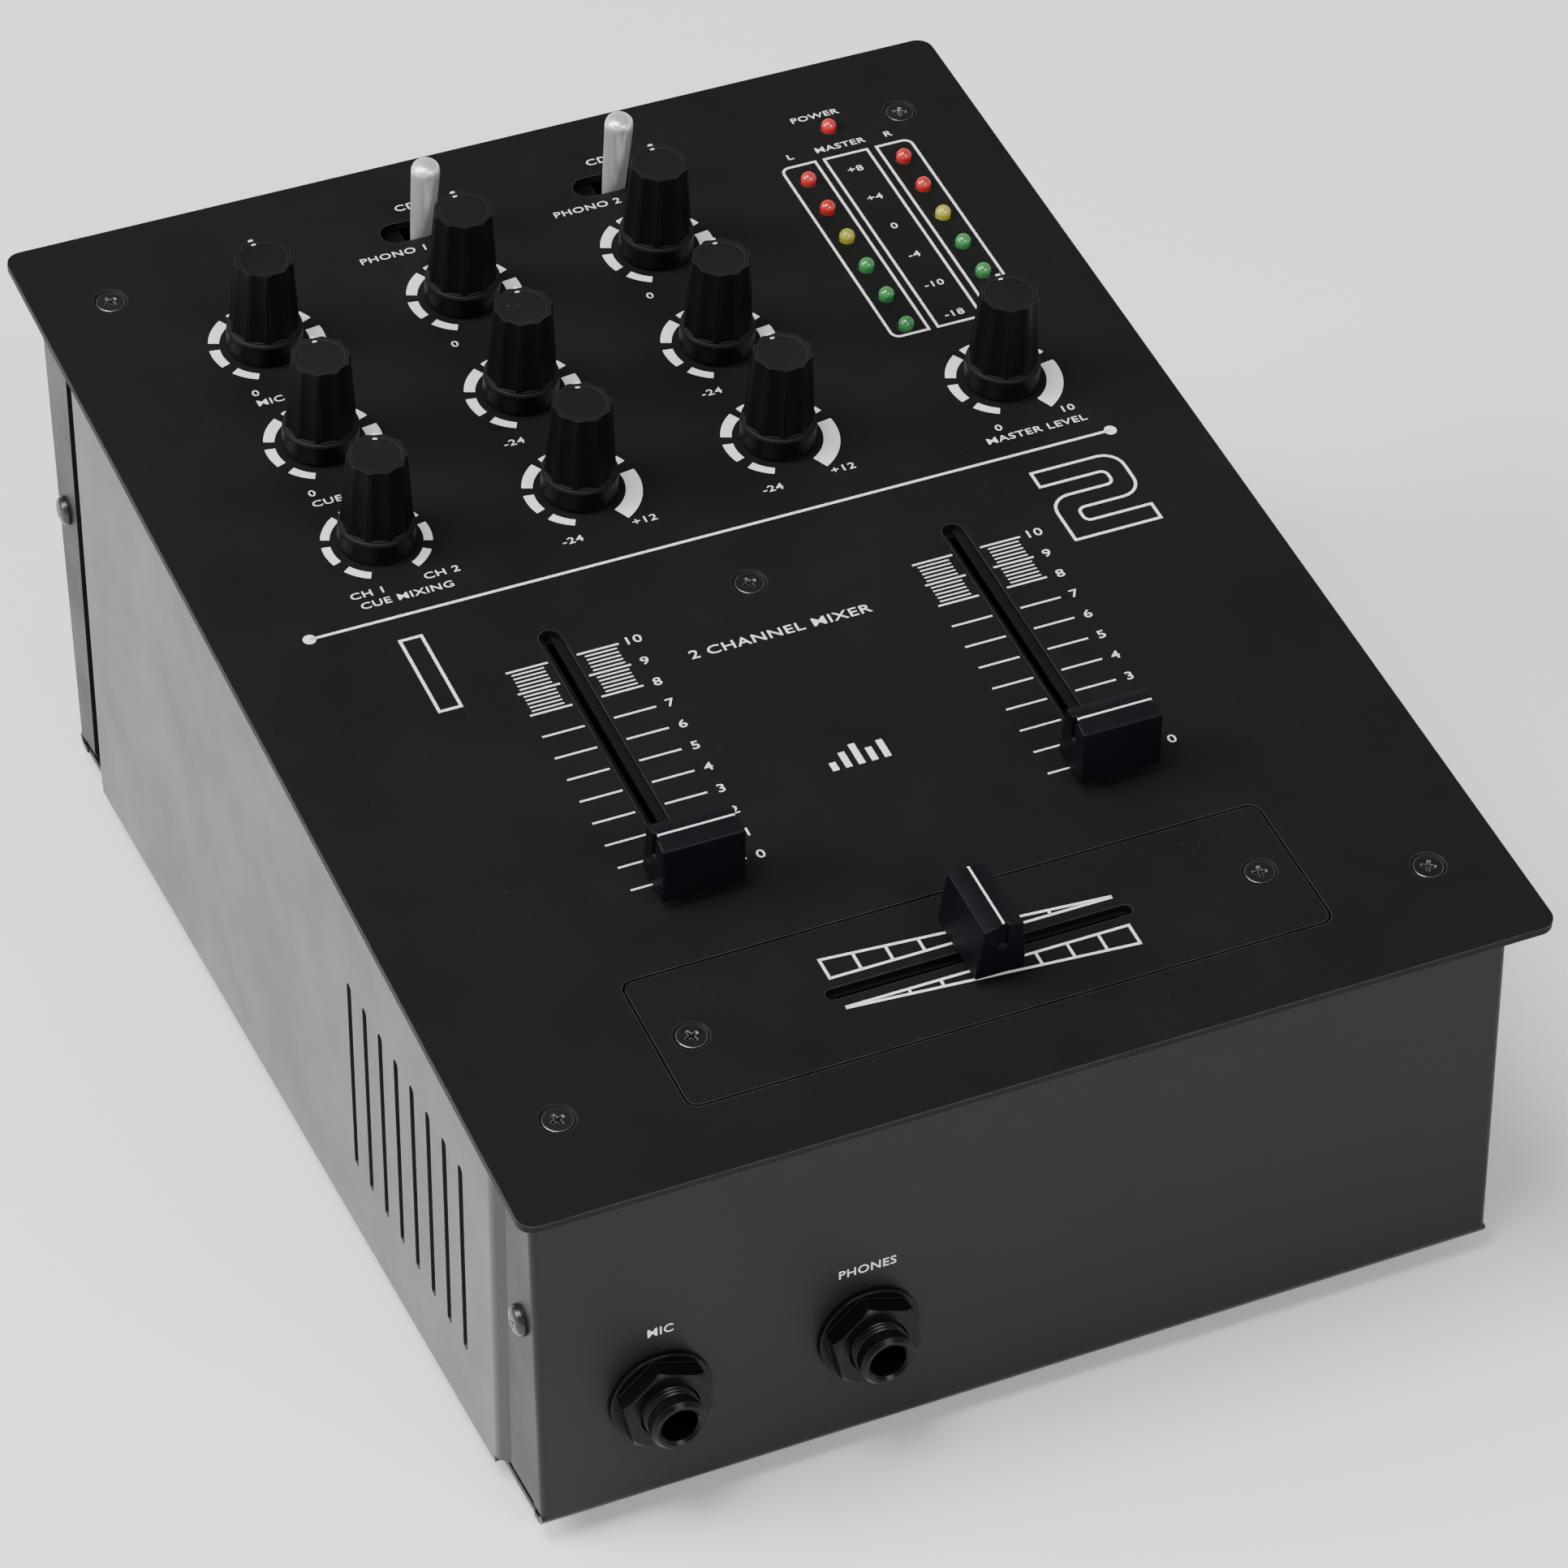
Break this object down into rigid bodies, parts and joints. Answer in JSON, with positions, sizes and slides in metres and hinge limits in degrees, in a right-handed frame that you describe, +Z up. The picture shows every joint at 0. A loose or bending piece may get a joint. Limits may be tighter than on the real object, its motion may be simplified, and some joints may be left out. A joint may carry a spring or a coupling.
{
  "type": "dj mixer",
  "caption": "Compact two-channel DJ mixer: sloping black top plate with knobs, upright faders, a crossfader, toggle switches and lamps on a folded sheet steel case.",
  "frame": {"origin": "middle of the footprint on the surface that the feet stand on", "axes": "+X to the right as the user faces the mixer, +Y from the front panel with the jacks to the rear, +Z up"},
  "size_m": [0.185, 0.2568, 0.128],
  "materials": {
    "plate_paint": "matte black powder coat, fine even texture",
    "case_paint": "satin black paint on folded sheet steel",
    "panel_paint": "satin charcoal paint on sheet steel",
    "black_screw": "black oxide, bright at the worn edges",
    "knob_plastic": "moulded matte black",
    "cap_plastic": "moulded blue-black, satin",
    "bright_metal": "bright nickel plating",
    "plated_steel": "zinc plated",
    "black_nylon": "moulded black, semi-gloss",
    "foot_rubber": "matte",
    "circuit_board": "green solder mask",
    "white_print": "screen printed white ink",
    "red_lens": "tinted clear resin",
    "yellow_lens": "tinted clear resin",
    "green_lens": "tinted clear resin",
    "coloured_insert": "moulded red, white or black socket inserts",
    "socket_metal": "nickel plated"
  },
  "bodies": {
    "root": {"top_plate": "plate_paint", "crossfader_plate": "plate_paint", "crossfader_bracket": "plated_steel", "chassis_pan": "case_paint", "left_side_panel": "panel_paint", "right_side_panel": "panel_paint", "front_left_foot": "foot_rubber", "front_right_foot": "foot_rubber", "rear_left_foot": "foot_rubber", "rear_right_foot": "foot_rubber", "front_left_plate_screw": "black_screw", "front_right_plate_screw": "black_screw", "rear_left_plate_screw": "black_screw", "rear_right_plate_screw": "black_screw", "centre_plate_screw": "black_screw", "crossfader_left_screw": "black_screw", "crossfader_right_screw": "black_screw", "left_front_side_screw": "black_screw", "left_rear_side_screw": "black_screw", "right_front_side_screw": "black_screw", "right_rear_side_screw": "black_screw", "centre_pillar": "plated_steel", "control_board": "circuit_board", "meter_board": "circuit_board", "channel_1_fader_case": "plated_steel", "channel_2_fader_case": "plated_steel", "crossfader_case": "plated_steel", "channel_1_switch_case": "black_nylon", "channel_2_switch_case": "black_nylon", "mic_jack": "black_nylon", "mic_jack_nut": "black_nylon", "phones_jack": "black_nylon", "phones_jack_nut": "black_nylon", "output_phono_sockets": "socket_metal", "channel_1_phono_sockets": "socket_metal", "channel_2_phono_sockets": "socket_metal", "rear_board": "circuit_board", "power_inlet": "black_nylon", "power_switch_frame": "black_nylon", "ground_post": "socket_metal"},
    "master_level_control": {"master_level_knob": "knob_plastic"},
    "cue_mixing_control": {"cue_mixing_knob": "knob_plastic"},
    "cue_level_control": {"cue_level_knob": "knob_plastic"},
    "mic_level_control": {"mic_level_knob": "knob_plastic"},
    "channel_1_bass_control": {"channel_1_bass_knob": "knob_plastic"},
    "channel_1_treble_control": {"channel_1_treble_knob": "knob_plastic"},
    "channel_1_gain_control": {"channel_1_gain_knob": "knob_plastic"},
    "channel_2_bass_control": {"channel_2_bass_knob": "knob_plastic"},
    "channel_2_treble_control": {"channel_2_treble_knob": "knob_plastic"},
    "channel_2_gain_control": {"channel_2_gain_knob": "knob_plastic"},
    "channel_1_fader": {"channel_1_fader_carriage": "plated_steel", "channel_1_fader_cap": "cap_plastic"},
    "channel_2_fader": {"channel_2_fader_carriage": "plated_steel", "channel_2_fader_cap": "cap_plastic"},
    "crossfader": {"crossfader_carriage": "plated_steel", "crossfader_cap": "cap_plastic"},
    "channel_1_switch": {"channel_1_switch_lever": "bright_metal"},
    "channel_2_switch": {"channel_2_switch_lever": "bright_metal"},
    "power_switch": {"power_switch_rocker": "black_nylon"},
    "ground_terminal_nut": {"ground_nut": "socket_metal"}
  },
  "joints": [
    {"name": "master_level_turn", "type": "hinge", "parent": "root", "child": "master_level_control", "pos_m": [0.0639, 0.02772, 0.09972], "axis": [0, -0.1369, 0.9906], "range_deg": [-147, 153]},
    {"name": "cue_mixing_turn", "type": "hinge", "parent": "root", "child": "cue_mixing_control", "pos_m": [-0.0565, 0.02732, 0.09966], "axis": [0, -0.1369, 0.9906], "range_deg": [-133, 167]},
    {"name": "cue_level_turn", "type": "hinge", "parent": "root", "child": "cue_level_control", "pos_m": [-0.0565, 0.05447, 0.10341], "axis": [0, -0.1369, 0.9906], "range_deg": [-143, 157]},
    {"name": "mic_level_turn", "type": "hinge", "parent": "root", "child": "mic_level_control", "pos_m": [-0.0565, 0.0826, 0.1073], "axis": [0, -0.1369, 0.9906], "range_deg": [-155, 145]},
    {"name": "channel_1_bass_turn", "type": "hinge", "parent": "root", "child": "channel_1_bass_control", "pos_m": [-0.0184, 0.02732, 0.09966], "axis": [0, -0.1369, 0.9906], "range_deg": [-138, 162]},
    {"name": "channel_1_treble_turn", "type": "hinge", "parent": "root", "child": "channel_1_treble_control", "pos_m": [-0.0184, 0.05447, 0.10341], "axis": [0, -0.1369, 0.9906], "range_deg": [-142, 158]},
    {"name": "channel_1_gain_turn", "type": "hinge", "parent": "root", "child": "channel_1_gain_control", "pos_m": [-0.0184, 0.0826, 0.1073], "axis": [0, -0.1369, 0.9906], "range_deg": [-150, 150]},
    {"name": "channel_2_bass_turn", "type": "hinge", "parent": "root", "child": "channel_2_bass_control", "pos_m": [0.0197, 0.02732, 0.09966], "axis": [0, -0.1369, 0.9906], "range_deg": [-153, 147]},
    {"name": "channel_2_treble_turn", "type": "hinge", "parent": "root", "child": "channel_2_treble_control", "pos_m": [0.0197, 0.05447, 0.10341], "axis": [0, -0.1369, 0.9906], "range_deg": [-142, 158]},
    {"name": "channel_2_gain_turn", "type": "hinge", "parent": "root", "child": "channel_2_gain_control", "pos_m": [0.0197, 0.0826, 0.1073], "axis": [0, -0.1369, 0.9906], "range_deg": [-145, 155]},
    {"name": "channel_1_fader_slide", "type": "slide", "parent": "root", "child": "channel_1_fader", "axis": [0, 0.9906, 0.1369], "range_m": [0, 0.06]},
    {"name": "channel_2_fader_slide", "type": "slide", "parent": "root", "child": "channel_2_fader", "axis": [0, 0.9906, 0.1369], "range_m": [0, 0.06]},
    {"name": "crossfader_slide", "type": "slide", "parent": "root", "child": "crossfader", "axis": [1, 0, 0], "range_m": [-0.0225, 0.0225]},
    {"name": "channel_1_switch_throw", "type": "hinge", "parent": "root", "child": "channel_1_switch", "pos_m": [-0.0184, 0.10383, 0.10417], "axis": [-1, 0, 0], "range_deg": [0, 11.2]},
    {"name": "channel_2_switch_throw", "type": "hinge", "parent": "root", "child": "channel_2_switch", "pos_m": [0.0197, 0.10383, 0.10417], "axis": [-1, 0, 0], "range_deg": [0, 11.2]},
    {"name": "power_switch_rock", "type": "hinge", "parent": "root", "child": "power_switch", "pos_m": [0.068, 0.1163, 0.068], "axis": [-1, 0, 0], "range_deg": [0, 19.4]},
    {"name": "ground_nut_turn", "type": "hinge", "parent": "root", "child": "ground_terminal_nut", "pos_m": [0.047, 0.1169, 0.078], "axis": [0, 1, 0], "range_deg": [0, 360]}
  ]
}
